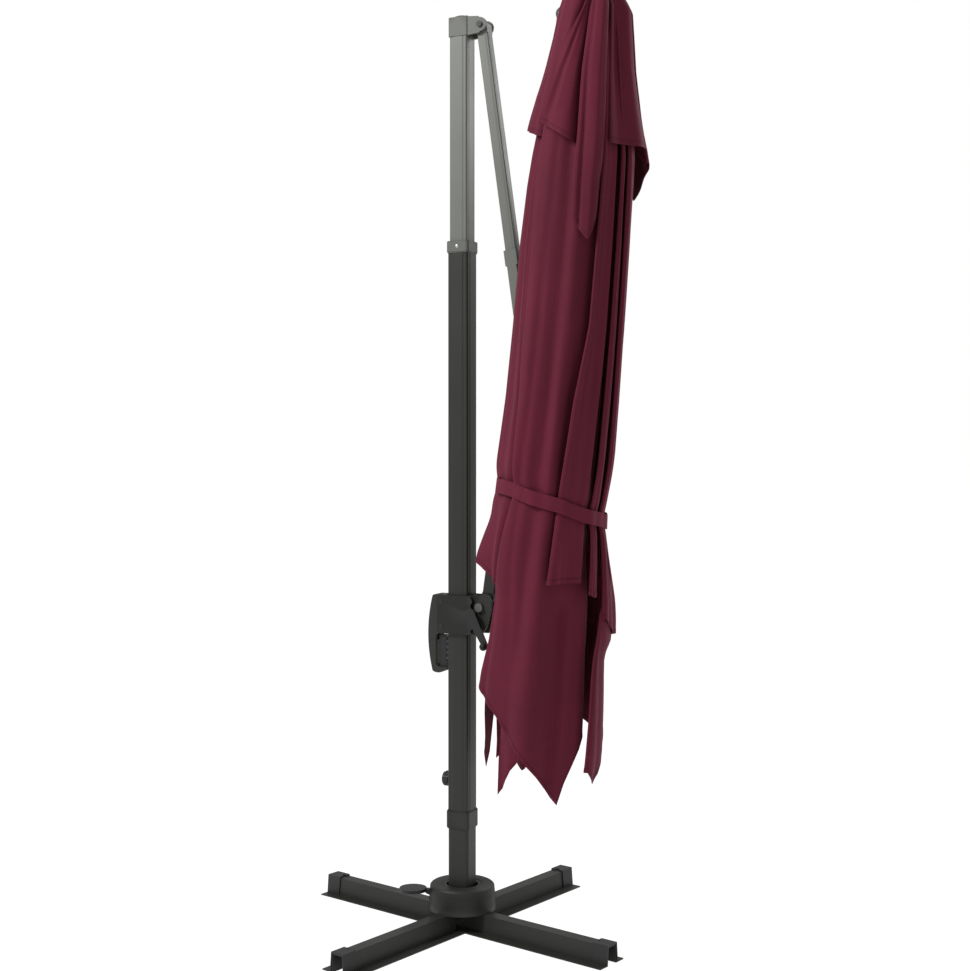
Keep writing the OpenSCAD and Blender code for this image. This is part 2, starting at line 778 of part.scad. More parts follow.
module crank_arm() {
  color(BLACK) crank_frame() difference() {
    union() {
      pin_y(5, crank_y + 1, -28.5);
      pin_y(9, crank_y - crank_t, -housing_y - 0.8);
      along_y(crank_y - crank_t, crank_y) {
        circle(15);
        polygon([[0, -15], [crank_len, -8], [crank_len, 8], [0, 15]]);
        translate([crank_len, 0]) circle(8);
      }
    }
    translate([crank_len, 0, 0]) pin_y(3 + run_fit, -80, 0);
  }
}

module crank_spool() {
  color(GREY) at(crank_axis) difference() {
    union() {
      pin_y(9.5, -38.5, -36.5);
      pin_y(7, -38.5, -28.5);
      pin_y(9.5, -30.5, -28.5);
    }
    pin_y(5, -50, 0);
  }
}

module crank_knob() {
  color(BLACK) crank_frame() translate([crank_len, 0, 0]) {
    pin_y(3, crank_y - crank_t - 1, crank_y - 0.5);
    difference() {
      translate([0, crank_y - crank_t - 10.6, 0]) sphere(r = 11);
      translate([-20, crank_y - crank_t - 0.6, -20]) cube(40);
    }
  }
}

// Canopy -------------------------------------------------------------------

function is_long(i) = i % 2 == 1;

module at_rib(i) { rotate(45 * i) translate([rib_r, 0, 0]) children(); }

// The folded ribs splay outward a little from their pins in the hub
module splayed() { translate([0, 0, -14]) rotate([0, -rib_splay, 0]) translate([0, 0, 14]) children(); }

module crown_hub() {
  color(BLACK) canopy_frame() difference() {
    translate([0, 0, -26]) cylinder(r = 54, h = 22);
    translate([0, 0, -30]) cylinder(r = pole_r, h = 40);
    for (i = RIBS) at_rib(i) {
      translate([-10.5, -6.6, -30]) cube([40, 13.2, 40]);
      translate([0, 0, -14]) pin_y(2.5, -11, 11);
    }
  }
}

// Plate on the pole's top, with two cheeks that reach out and down to the boom's head
module hub_hanger() {
  color(BLACK) canopy_frame() difference() {
    union() {
      translate([-66, -24.3, -2]) cube([90, 48.6, 8]);
      for (side = [-1, 1]) {
        near = side < 0 ? -24.3 : 18.3;
        along_y(near, near + 6) {
          translate(hang) circle(18);
          polygon([[hang.x - 17.5, hang.y + 4], [-66, 6], [-54, 6], [-58, -20], [hang.x + 18, hang.y]]);
        }
      }
    }
    at(hang) pin_y(pin_r, -40, 40);
    translate([0, 0, -10]) cylinder(r = 5, h = 40);
  }
}

module hanger_bolt() {
  color(STEEL) canopy_frame() at(hang) {
    pin_y(pin_r, -25.3, 25.3);
    pin_y(9, -28.3, -24.3);
    pin_y(9, 24.3, 28.3);
  }
}

module centre_pole() {
  color(ANTHRACITE) canopy_frame() translate([0, 0, -pole_len]) difference() {
    cylinder(r = pole_r, h = pole_len - 2);
    translate([0, 0, -1]) cylinder(r = pole_r - 2, h = pole_len - 11);
  }
}

module runner() {
  color(BLACK) canopy_frame() translate([0, 0, 30 - pole_len]) difference() {
    cylinder(r = 31, h = 36);
    translate([0, 0, -1]) cylinder(r = pole_r + 0.4, h = 40);
  }
}

function rib_length(i) = (is_long(i) ? rib_long : rib_short) - rib_short_of_hem;

module rib(i) {
  length = rib_length(i);
  at_rib(i) splayed() difference() {
    translate([-9, -6, -length]) cube([18, 12, length - 8]);
    translate([-9 + rib_wall, -6 + rib_wall, -length - 1])
      cube([18 - 2 * rib_wall, 12 - 2 * rib_wall, length - 32]);
    translate([0, 0, -14]) pin_y(2.5, -11, 11);
  }
}

module long_ribs() { color(ANTHRACITE) canopy_frame() for (i = RIBS) if (is_long(i)) rib(i); }

module short_ribs() { color(ANTHRACITE) canopy_frame() for (i = RIBS) if (!is_long(i)) rib(i); }

// Struts folded up against the pole, each under a bracket on its rib
module struts() {
  runner_top = 66 - pole_len;
  color(ANTHRACITE) canopy_frame() for (i = RIBS) at_rib(i) {
    translate([-19, -4, runner_top]) cube([8, 8, 20 - strut_top - runner_top]);
    splayed() translate([-15 - strut_top * sin(rib_splay), -3, -strut_top + 2])
      cube([6 + strut_top * sin(rib_splay), 6, 12]);
  }
}

module rib_tips() {
  color(BLACK) canopy_frame() for (i = RIBS) {
    length = rib_length(i);
    at_rib(i) splayed() {
      translate([-9, -6, -length - 10]) cube([18, 12, 10]);
      translate([-7, -4, -length - 1]) cube([14, 8, 16]);
    }
  }
}

// Radius of the folded fabric at a distance down the pole, as [radius, -distance]
vent_profile = [[12, 50], [45, 40], [75, 18], [82, 4], [93, -23], [105, -103], [120, -182], [136, -262],
                [bundle_r + 10, -342], [bundle_r + 8, -0.3 * rib_long]];
cover_skin = 6;
cover_profile = [[36, 34], [70, 13], [76, 0], [87, -23], [99, -103], [114, -182], [130, -262],
                 [bundle_r - 2, -342], [bundle_r - 2, -0.3 * rib_long], [bundle_r, -0.45 * rib_long],
                 [bundle_r + 6, -0.6 * rib_long], [bundle_r + 10, -0.65 * rib_long],
                 [bundle_r + 28, -0.72 * rib_long], [bundle_r + 28, -0.83 * rib_long],
                 [bundle_r + 8, -0.93 * rib_long], [bundle_r - 20, -rib_long - 6]];

// Gap on the mast side where the boom and the tie lie
module boom_slot() {
  translate([-400, -slot_half, -2 * rib_long]) cube([400, 2 * slot_half, 2 * rib_long + slot_top]);
}

// Pointed cuts between the four corners of a hanging square cloth
module hem_cuts(apex, foot) {
  for (a = [0 : 90 : 270])
    rotate([90, 0, a]) linear_extrude(400)
      polygon([[0, -apex], [-0.8 * bundle_r, -foot - 20], [0.8 * bundle_r, -foot - 20]]);
}

module canopy_cover() {
  foot = rib_long + 6;
  inner = [for (i = [len(cover_profile) - 1 : -1 : 0])
    [cover_profile[i].x - cover_skin, cover_profile[i].y - (i < 2 ? cover_skin / 2 : 0)]];
  color(BORDEAUX) difference() {
    canopy_frame() difference() {
      rotate_extrude($fn = 96) polygon(concat(cover_profile, inner));
      boom_slot();
      hem_cuts(0.87 * rib_long, foot);
      translate([-400, -200, strap_z - 90]) cube([400 - strap_flat + 3, 400, 180]);
    }
    // Room for the slider housing and the turning crank
    translate([0, crank_y - 38, housing_z - 60])
      cube([crank_axis.x + crank_len + 16, 38 - crank_y + slot_half + 6, 260]);
  }
}

module vent_cap() {
  skin = 4;
  foot = 0.3 * rib_long;
  inner = [for (i = [len(vent_profile) - 1 : -1 : 0])
    [max(0, vent_profile[i].x - skin), vent_profile[i].y - (i < 4 ? skin : 0)]];
  color(BORDEAUX) canopy_frame() difference() {
    rotate_extrude($fn = 96) polygon(concat(vent_profile, inner));
    boom_slot();
    hem_cuts(342, foot);
  }
}

module tie_strap() {
  thick = 2.5;
  ring_in = bundle_r + 12;
  color(BORDEAUX) canopy_frame() intersection() {
    difference() {
      translate([0, 0, strap_z - 80]) cylinder(r = ring_in + thick, h = 160, $fn = 96);
      difference() {
        translate([0, 0, strap_z - 81]) cylinder(r = ring_in, h = 162, $fn = 96);
        translate([-400, -200, strap_z - 90]) cube([400 - strap_flat, 400, 180]);
      }
      translate([-400, -200, strap_z - 90]) cube([400 - strap_flat - thick, 400, 180]);
    }
    translate([0, 0, strap_z]) rotate([0, strap_slope, 0])
      translate([-300, -300, -strap_w / 2]) cube([600, 600, strap_w]);
  }
}

module finial() {
  color(BLACK) canopy_frame() {
    translate([0, 0, 6]) cylinder(r = 5, h = 46);
    translate([0, 0, 51]) rotate_extrude() polygon([[0, 0], [18, 0], [17, 5], [12, 9], [0, 11]]);
  }
}

beam_whole();
beam_lapped();
for (place = [0 : 3])
  end_cap(place);
base_plate();
base_bolts();
spigot();
thrust_washer();
spigot_nut();
hub_cover();
pedal_pin();
pedal();
pedal_spring();
turn_flange();
stub_pipe();
joint_core();
lower_collar();
lower_tube();
upper_tube();
upper_collar();
collar_screw();
head_cap();
head_bolt();
lock_knob();
knob_stud();
tie_head();
tie_tube();
tie_fork();
knee_bolt();
boom_foot();
boom_lower_tube();
boom_knee();
boom_upper_tube();
boom_head();
slider_front();
slider_back();
glide_liner();
slider_screws();
foot_bolt();
grip_trigger();
latch_pin();
latch_spring();
crank_arm();
crank_spool();
crank_knob();
crown_hub();
hub_hanger();
hanger_bolt();
centre_pole();
runner();
long_ribs();
short_ribs();
struts();
rib_tips();
canopy_cover();
vent_cap();
tie_strap();
finial();
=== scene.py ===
# %% [markdown]
# # A cantilever patio umbrella, folded and tied
# The real object is a garden parasol that hangs from the side: a square mast stands in a cross
# base, a tie bar and a boom reach out from it, and the canopy hangs from the boom's end. Here the
# canopy is folded and tied, so it hangs beside the mast as a long bundle of pleated cloth.
#
# The metal and plastic parts come ready made from the CAD model. This lesson gives them finishes,
# and it builds everything that is sewn: the canopy's cloth, the small vent cap over its top, the
# turned hems and the tie strap.

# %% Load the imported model
import bpy
import bmesh
import json
import math
import numpy as np
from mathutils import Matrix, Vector


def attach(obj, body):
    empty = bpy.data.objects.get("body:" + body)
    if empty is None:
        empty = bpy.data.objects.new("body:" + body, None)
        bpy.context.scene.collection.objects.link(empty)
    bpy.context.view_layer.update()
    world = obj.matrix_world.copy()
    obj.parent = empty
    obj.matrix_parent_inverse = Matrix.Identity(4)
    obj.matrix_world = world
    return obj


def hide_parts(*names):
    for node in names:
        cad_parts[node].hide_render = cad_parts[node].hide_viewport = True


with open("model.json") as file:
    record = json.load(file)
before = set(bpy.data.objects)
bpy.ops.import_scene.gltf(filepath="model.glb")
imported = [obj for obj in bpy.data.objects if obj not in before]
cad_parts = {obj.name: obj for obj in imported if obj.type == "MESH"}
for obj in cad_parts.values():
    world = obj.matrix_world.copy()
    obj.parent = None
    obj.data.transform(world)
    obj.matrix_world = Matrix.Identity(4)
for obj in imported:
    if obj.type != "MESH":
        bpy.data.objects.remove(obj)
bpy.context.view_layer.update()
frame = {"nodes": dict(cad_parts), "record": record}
nodes = frame["nodes"]

# %% [markdown]
# ## The camera
# The camera comes first, because it decides which folds are seen. It stands a little to the
# canopy's side of the mast, level at eye height, with a normal 55 mm lens. A level camera keeps
# the mast upright in the picture; the lens shift then frames the umbrella without any tilt.

# %% Camera
VIEW_AZIMUTH = math.radians(26)
VIEW_DISTANCE = 4.147
EYE_HEIGHT = 1.35

lens = bpy.data.cameras.new("portrait_camera")
lens.lens = 54.94
lens.sensor_width = 36
lens.shift_x = 0.0234
lens.shift_y = -0.0444
lens.clip_start = 0.05
lens.clip_end = 60
camera = bpy.data.objects.new("portrait_camera", lens)
camera.location = (
    VIEW_DISTANCE * math.sin(VIEW_AZIMUTH),
    -VIEW_DISTANCE * math.cos(VIEW_AZIMUTH),
    EYE_HEIGHT,
)
camera.rotation_euler = (math.radians(90), 0, VIEW_AZIMUTH)
bpy.context.scene.collection.objects.link(camera)
bpy.context.scene.camera = camera
print("camera at", [round(v, 2) for v in camera.location])

# %% [markdown]
# ## Floor and light
# A product picture has hardly any backdrop: a pale floor and a pale surround. The surround gives
# weak, even light from everywhere, though the camera sees it as plain white. One large soft lamp
# at the upper left makes the left faces lighter than the right ones, which is what shows that the
# mast is square. A weaker lamp from behind keeps the far side from going flat.

# %% Floor
FLOOR_HALF = 40
FLOOR_DROP = 0.0005


def make_object(name, bm, smooth_faces=False):
    """Turns a finished bmesh into an object in the scene."""
    mesh = bpy.data.meshes.new(name)
    bm.to_mesh(mesh)
    bm.free()
    for face in mesh.polygons:
        face.use_smooth = smooth_faces
    made = bpy.data.objects.new(name, mesh)
    bpy.context.scene.collection.objects.link(made)
    return made


bm = bmesh.new()
bmesh.ops.create_grid(bm, x_segments=2, y_segments=2, size=FLOOR_HALF)
bmesh.ops.translate(bm, verts=bm.verts, vec=(0, 0, -FLOOR_DROP))
floor = make_object("floor", bm)
print("floor", 2 * FLOOR_HALF, "m across")


# %% Helpers for materials
def new_material(name):
    """An empty node material, with its Principled shader."""
    mat = bpy.data.materials.new(name)
    mat.use_nodes = True
    shader = mat.node_tree.nodes["Principled BSDF"]
    return mat, shader


def add(mat, kind, **settings):
    """A new node with some of its settings or inputs filled in."""
    node = mat.node_tree.nodes.new(kind)
    for key, value in settings.items():
        if hasattr(node, key):
            setattr(node, key, value)
        else:
            node.inputs[key.replace("_", " ")].default_value = value
    return node


def join(mat, source, target):
    mat.node_tree.links.new(source, target)


def ramp(mat, source, stops):
    """A colour ramp on a value. stops are (place, colour) pairs."""
    node = mat.node_tree.nodes.new("ShaderNodeValToRGB")
    while len(node.color_ramp.elements) < len(stops):
        node.color_ramp.elements.new(0.5)
    for element, (place, colour) in zip(node.color_ramp.elements, stops):
        element.position = place
        element.color = (*colour, 1)
    join(mat, source, node.inputs["Fac"])
    return node.outputs["Color"]


def grey(level):
    return (level, level, level)


def shade(colour, factor):
    return tuple(c * factor for c in colour)


def by_camera_ray(tree_owner, for_object, for_camera):
    """A value that the camera reads as one number, and light on the object as another."""
    ray = add(tree_owner, "ShaderNodeLightPath")
    choice = add(tree_owner, "ShaderNodeMapRange", To_Min=for_object, To_Max=for_camera)
    join(tree_owner, ray.outputs["Is Camera Ray"], choice.inputs["Value"])
    return choice.outputs["Result"]


# %% Floor material
FLOOR_GLOW = 1.14
GLOW_SHARE_FOR_OBJECT = 0.3
GLOW_SHARE_FOR_CAMERA = 0.84

floor_mat, floor_shader = new_material("pale_floor")
floor_shader.inputs["Base Color"].default_value = (0.93, 0.93, 0.93, 1)
floor_shader.inputs["Roughness"].default_value = 0.85
floor_shader.inputs["Specular IOR Level"].default_value = 0.1
white = add(floor_mat, "ShaderNodeEmission", Strength=FLOOR_GLOW)
blend = add(floor_mat, "ShaderNodeMixShader")
share = by_camera_ray(floor_mat, GLOW_SHARE_FOR_OBJECT, GLOW_SHARE_FOR_CAMERA)
join(floor_mat, share, blend.inputs["Fac"])
join(floor_mat, floor_shader.outputs["BSDF"], blend.inputs[1])
join(floor_mat, white.outputs["Emission"], blend.inputs[2])
floor_out = floor_mat.node_tree.nodes["Material Output"]
join(floor_mat, blend.outputs["Shader"], floor_out.inputs["Surface"])
floor.data.materials.append(floor_mat)

# %% Surround and lamps
SURROUND_FOR_OBJECT = 0.46
SURROUND_FOR_CAMERA = 1.0

scene = bpy.context.scene
scene.view_settings.view_transform = "Standard"
world = bpy.data.worlds.new("studio")
scene.world = world
world.use_nodes = True
background = world.node_tree.nodes["Background"]
background.inputs["Color"].default_value = (1, 1, 1, 1)
strength = by_camera_ray(world, SURROUND_FOR_OBJECT, SURROUND_FOR_CAMERA)
join(world, strength, background.inputs["Strength"])


def soft_lamp(name, place, aim, size, power):
    """A square lamp at a place, turned towards a point."""
    data = bpy.data.lights.new(name, "AREA")
    data.shape = "SQUARE"
    data.size = size
    data.energy = power
    lamp = bpy.data.objects.new(name, data)
    lamp.location = place
    lamp.rotation_euler = (Vector(aim) - Vector(place)).to_track_quat("-Z", "Y").to_euler()
    scene.collection.objects.link(lamp)


soft_lamp("key", (-2.0, -2.7, 4.1), aim=(0.2, 0, 1.5), size=1.2, power=150)
soft_lamp("back", (2.2, 3.4, 3.6), aim=(0.2, 0, 1.2), size=1.6, power=60)

# %% [markdown]
# ## Powder coat, moulded plastic and plated steel
# The tubes are powder coated: a satin paint with a very fine orange peel. The moulded parts have
# a fine spark-eroded grain and are duller. Bolts and screws are zinc plated and brighter. Each
# finish is made from noise on Object coordinates, so the pattern keeps its real size, and a
# pointiness mask rubs the edges a little lighter, as handling does.


# %% Finish for paint and plastic
EDGE_STARTS, EDGE_FULL = 0.505, 0.56    # pointiness at which an edge begins to look rubbed
SATIN_SPECULAR = 0.32


def painted(name, colour, roughness, grain_scale, grain_depth, wear=0.3):
    """Satin paint or moulded plastic with grain, patches of dust, and edges rubbed lighter."""
    mat, shader = new_material(name)
    spot = add(mat, "ShaderNodeTexCoord").outputs["Object"]
    cloud = add(mat, "ShaderNodeTexNoise", Scale=3.5, Detail=4.0, Roughness=0.6)
    join(mat, spot, cloud.inputs["Vector"])
    tone = ramp(mat, cloud.outputs["Fac"], [(0.3, shade(colour, 0.88)), (0.7, shade(colour, 1.12))])
    corner = add(mat, "ShaderNodeNewGeometry").outputs["Pointiness"]
    edge = ramp(mat, corner, [(EDGE_STARTS, grey(0)), (EDGE_FULL, grey(wear))])
    rub = add(mat, "ShaderNodeMix", data_type="RGBA")
    join(mat, edge, rub.inputs["Factor"])
    join(mat, tone, rub.inputs["A"])
    rub.inputs["B"].default_value = (*[min(1, c * 2.2 + 0.03) for c in colour], 1)
    join(mat, rub.outputs["Result"], shader.inputs["Base Color"])
    grain = add(mat, "ShaderNodeTexNoise", Scale=grain_scale, Detail=3.0, Roughness=0.55)
    join(mat, spot, grain.inputs["Vector"])
    glossier, duller = grey(roughness - 0.05), grey(roughness + 0.07)
    gloss = ramp(mat, cloud.outputs["Fac"], [(0.25, glossier), (0.75, duller)])
    join(mat, gloss, shader.inputs["Roughness"])
    bump = add(mat, "ShaderNodeBump", Strength=0.35, Distance=grain_depth)
    join(mat, grain.outputs["Fac"], bump.inputs["Height"])
    join(mat, bump.outputs["Normal"], shader.inputs["Normal"])
    shader.inputs["Specular IOR Level"].default_value = SATIN_SPECULAR
    return mat


# %% Finish for plated steel
def plated(name, colour, roughness):
    """Zinc plated or turned steel, with fine brushing."""
    mat, shader = new_material(name)
    stretch = add(mat, "ShaderNodeMapping")
    stretch.inputs["Scale"].default_value = (1, 1, 12)
    join(mat, add(mat, "ShaderNodeTexCoord").outputs["Object"], stretch.inputs["Vector"])
    brush = add(mat, "ShaderNodeTexNoise", Scale=220.0, Detail=3.0, Roughness=0.6)
    join(mat, stretch.outputs["Vector"], brush.inputs["Vector"])
    tone = ramp(mat, brush.outputs["Fac"], [(0.3, shade(colour, 0.82)), (0.7, shade(colour, 1.1))])
    join(mat, tone, shader.inputs["Base Color"])
    gloss = ramp(mat, brush.outputs["Fac"], [(0.3, grey(roughness)), (0.7, grey(roughness + 0.14))])
    join(mat, gloss, shader.inputs["Roughness"])
    bump = add(mat, "ShaderNodeBump", Strength=0.2, Distance=0.0002)
    join(mat, brush.outputs["Fac"], bump.inputs["Height"])
    join(mat, bump.outputs["Normal"], shader.inputs["Normal"])
    shader.inputs["Metallic"].default_value = 1.0
    return mat


# %% The finishes of the CAD parts
ANTHRACITE = (0.0120, 0.0126, 0.0098)
GREY = (0.094, 0.098, 0.088)
FINISHES = {
    "powder_dark": painted("anthracite_powder", ANTHRACITE, 0.42, 900, 0.0002),
    "mast_dark": painted("anthracite_tube", ANTHRACITE, 0.40, 900, 0.0002),
    "mast_light": painted("grey_tube", GREY, 0.42, 900, 0.0002),
    "moulded_grey": painted("grey_moulding", shade(GREY, 0.8), 0.5, 700, 0.0003),
    "moulded_dark": painted("anthracite_moulding", shade(ANTHRACITE, 1.1), 0.5, 650, 0.0004),
    "black_plastic": painted("black_moulding", grey(0.014), 0.45, 650, 0.0004, wear=0.2),
    "black_steel": painted("black_steel", grey(0.02), 0.4, 900, 0.0002),
    "bright_steel": plated("zinc_plate", (0.62, 0.63, 0.62), 0.25),
    "nylon": painted("white_nylon", (0.72, 0.72, 0.69), 0.4, 500, 0.0002, wear=0.05),
}

# %% Give each CAD part the finish of its slot
for part in frame["record"]["subparts"]:
    finish = FINISHES.get(part["material_slot"])
    if finish:
        mesh = nodes[part["node"]].data
        mesh.materials.clear()
        mesh.materials.append(finish)
print("finishes:", ", ".join(FINISHES))

# %% [markdown]
# ## How a folded canopy is laid
# An open square canopy is 3 m wide, so halfway down a rib there is far more cloth than the bundle
# is round. The cloth hangs in pleats: each pleat runs out from the ribs, wraps over its
# neighbours, turns back at a free edge and goes under again. Seen from outside, the bundle is a
# ring of strips, each with one free edge that lies on the next strip.
#
# One grid is bent into that shape. Its columns follow the pleats round the bundle and its rows
# go down the cloth, from the crown to the hem. A column's place on the pleat stays the same all
# the way down, so the cloth is one unbroken sheet. The hem isn't level: a square hangs from its
# crown with four deep corners.

# %% The folded bundle's frame
CROWN = Vector((0.394, 0, 2.530))
LEAN = math.radians(4.7)
LEAN_SIN, LEAN_COS = math.sin(LEAN), math.cos(LEAN)


def to_model(x, y, depth):
    """Points of the leaning bundle, with depth measured down its pole, in the model's frame."""
    return np.stack(
        [
            CROWN.x + x * LEAN_COS - depth * LEAN_SIN,
            y,
            CROWN.z - x * LEAN_SIN - depth * LEAN_COS,
        ],
        axis=-1,
    )


def smooth(low, high, value):
    """0 below low, 1 above high, and an even curve between them."""
    t = np.clip((value - low) / (high - low), 0, 1)
    return t * t * (3 - 2 * t)


def swell(value, middle, spread):
    """1 at the middle, fading to 0 on both sides."""
    return np.exp(-(((value - middle) / spread) ** 2))


# %% Radius of the bundle on its two sides
# Each table is (depth, radius): the side towards the mast, and the side away from it.
DEPTHS = [-0.05, 0.0, 0.1, 0.26, 0.34, 0.42, 0.5, 0.66, 0.87, 1.07, 1.2, 1.3, 1.36, 1.44, 1.5]
DEPTHS += [1.55, 1.6, 1.72, 1.81, 1.9, 2.0, 2.2]
NEAR_MAST = [0.05, 0.058, 0.076, 0.106, 0.118, 0.128, 0.135, 0.143, 0.145, 0.150, 0.158, 0.165]
NEAR_MAST += [0.168, 0.168, 0.164, 0.158, 0.152, 0.152, 0.160, 0.162, 0.152, 0.146]
AWAY = [0.05, 0.056, 0.083, 0.110, 0.124, 0.134, 0.136, 0.139, 0.142, 0.142, 0.140, 0.135]
AWAY += [0.133, 0.136, 0.144, 0.150, 0.155, 0.160, 0.168, 0.174, 0.180, 0.172]


def blend_sides(theta, near, away):
    """Mixes the two sides' values round the bundle; the sides are those seen by the camera."""
    share = 0.5 - 0.5 * np.cos(theta - VIEW_AZIMUTH)
    return away + (near - away) * share


def bundle_radius(theta, depth):
    return blend_sides(theta, np.interp(depth, DEPTHS, NEAR_MAST), np.interp(depth, DEPTHS, AWAY))


print("the bundle is", round(2 * max(AWAY), 2), "m across at its widest")

# %% The boom's trough
BOOM_GAP = 0.006                        # between the boom's inner face and the cloth
TROUGH_HALF, TROUGH_EDGE = 0.027, 0.046  # half widths of the trough's floor and of its mouth
TROUGH_ENDS, TROUGH_GONE = 1.70, 1.78    # depths over which it fades out


def boom_face(depth):
    """Distance from the bundle's axis to the boom's inner face, on the mast side."""
    return 0.0617 + 0.0586 * depth


def clear_of_boom(x, y, depth):
    """Presses cloth in behind the boom, so that the boom lies in a trough."""
    pressed = np.maximum(x, -(boom_face(depth) - BOOM_GAP))
    share = 1 - smooth(TROUGH_HALF, TROUGH_EDGE, np.abs(y))
    share = share * (1 - smooth(TROUGH_ENDS, TROUGH_GONE, depth))
    return x + (pressed - x) * share


# %% The strap's line
STRAP_DEPTH = 1.347
STRAP_SLOPE = 0.041


def strap_line(theta):
    """Depth of the strap's middle; it is tied lower on the side away from the mast."""
    return STRAP_DEPTH + STRAP_SLOPE * np.cos(theta - VIEW_AZIMUTH)


print("strap at", STRAP_DEPTH, "m down the bundle")

# %% [markdown]
# ## Pleats
# Every pleat has a free edge, whose angle drifts a little with depth, an outer layer from that
# edge to the next pleat's edge, and a tail that goes on under the next pleat. Below the tail the
# rest of the cloth is gathered in narrow folds between the ribs, where it's hardly seen. The
# offsets say how the outer layer bulges, and the hems say how deep the cloth goes.


# %% A pleat and its tables
def pleat(
    edge,
    next_edge,
    tail,
    offsets,
    hems,
    tail_hems,
    drop=0.024,
    tail_drop=0.012,
    lip=0.009,
    skirt=0.0,
):
    """edge, next_edge and tail are (depth, degrees) tables; the rest are values along the pleat."""
    return dict(
        edge=edge,
        next_edge=next_edge,
        tail=tail,
        offsets=offsets,
        hems=hems,
        tail_hems=tail_hems,
        drop=drop,
        tail_drop=tail_drop,
        lip=lip,
        skirt=skirt,
    )


def angle_at(table, depth):
    depths, angles = zip(*table)
    return np.radians(np.interp(depth, depths, angles))


def along(values, place):
    return np.interp(place, np.linspace(0, 1, len(values)), values)


# %% Folds and creases of hanging cloth
def wave(theta, depth, seed):
    """Slow folds and fine creases in hanging cloth, in metres."""
    slow = np.sin(theta * 5 + depth * 2.1 + seed) * np.sin(depth * 3.3 + seed * 2.7)
    mid = np.sin(theta * 12 + depth * 1.4 + seed * 1.9) * (0.6 + 0.4 * np.sin(depth * 5.1 + seed))
    fine = np.sin(theta * 31 - depth * 3.7 + seed * 3.1) * np.sin(depth * 7.9 + theta * 4 + seed)
    bend = 1.3 * np.sin(depth * 1.7 + seed * 2.3)
    fold = 1 - 2 * np.abs(np.sin(theta * 9.5 + bend + seed)) ** 0.7
    strength = 0.55 + 0.45 * np.sin(depth * 2.6 + theta * 2 + seed * 1.3)
    return 0.0030 * slow + 0.0030 * mid + 0.0010 * fine - 0.0038 * fold * strength


# %% [markdown]
# ## From pleats to a grid
# The grid's columns come first: each pleat has a few gathered columns, a few that run back under
# its edge, a tight fold at the edge, many across the outer layer, and a few down its tail. Then
# each column gets its own hem, and at every depth an angle and a radius round the bundle. It's a
# surface worked out by rule, so one function can lay both the canopy and the small cap.

# %% The grid's columns
UNDER_STEPS, FOLD_STEPS, OUTER_STEPS, TAIL_STEPS = 8, 5, 24, 7
STEPS_IN_A_GATHER = 3


def list_columns(pleat_count, gather):
    """(pleat, part, place) of every column, in the order in which they run round the bundle."""
    steps = []
    if gather:
        last = gather * STEPS_IN_A_GATHER + 1
        steps += [("gather", n / last) for n in range(last + 1)]
    steps += [("under", n / UNDER_STEPS) for n in range(UNDER_STEPS)]
    steps += [("fold", n / FOLD_STEPS) for n in range(FOLD_STEPS)]
    steps += [("outer", (n / (OUTER_STEPS - 1)) ** 1.35) for n in range(OUTER_STEPS)]
    steps += [("tail", n / TAIL_STEPS) for n in range(1, TAIL_STEPS + 1)]
    return [(index, part, t) for index in range(pleat_count) for part, t in steps]


# %% The hem of a column
UNDER_RISE = 0.10       # how much higher the hem is at the far end of the layer under a pleat
GATHER_RISE = 0.06      # how much higher it is again in the gathered folds


def hem_depth(pleats, index, part, t):
    """How far down the pole a column of the cloth ends."""
    hems = pleats[index]["hems"]
    if part == "outer":
        return along(hems, t)
    if part == "fold":
        return hems[0]
    if part == "under":
        return hems[0] - UNDER_RISE * (1 - t)
    if part == "tail":
        return along([hems[-1], *pleats[index]["tail_hems"]], t)
    first = pleats[index - 1]["tail_hems"][-1] - GATHER_RISE * smooth(0, 0.2, t)
    last = hems[0] - UNDER_RISE
    return first + (last - first) * t


# %% The place of a column
FOLD_HALF = 0.0045      # half the gap between the two layers at a fold, in metres
FOLD_TURN = 0.035       # how far a fold's round back stands past its edge, in radians
UNDER_GAP = 0.009       # how far the layer under a pleat lies below its outer layer
UNDER_SINK = 0.010      # how much deeper it sinks by its far end
GATHER_DEPTH = 0.036    # how far the gathered folds stay below the outer layer
NO_WIDTH = 1e-6         # keeps a pleat that starts at a point from having no width at all


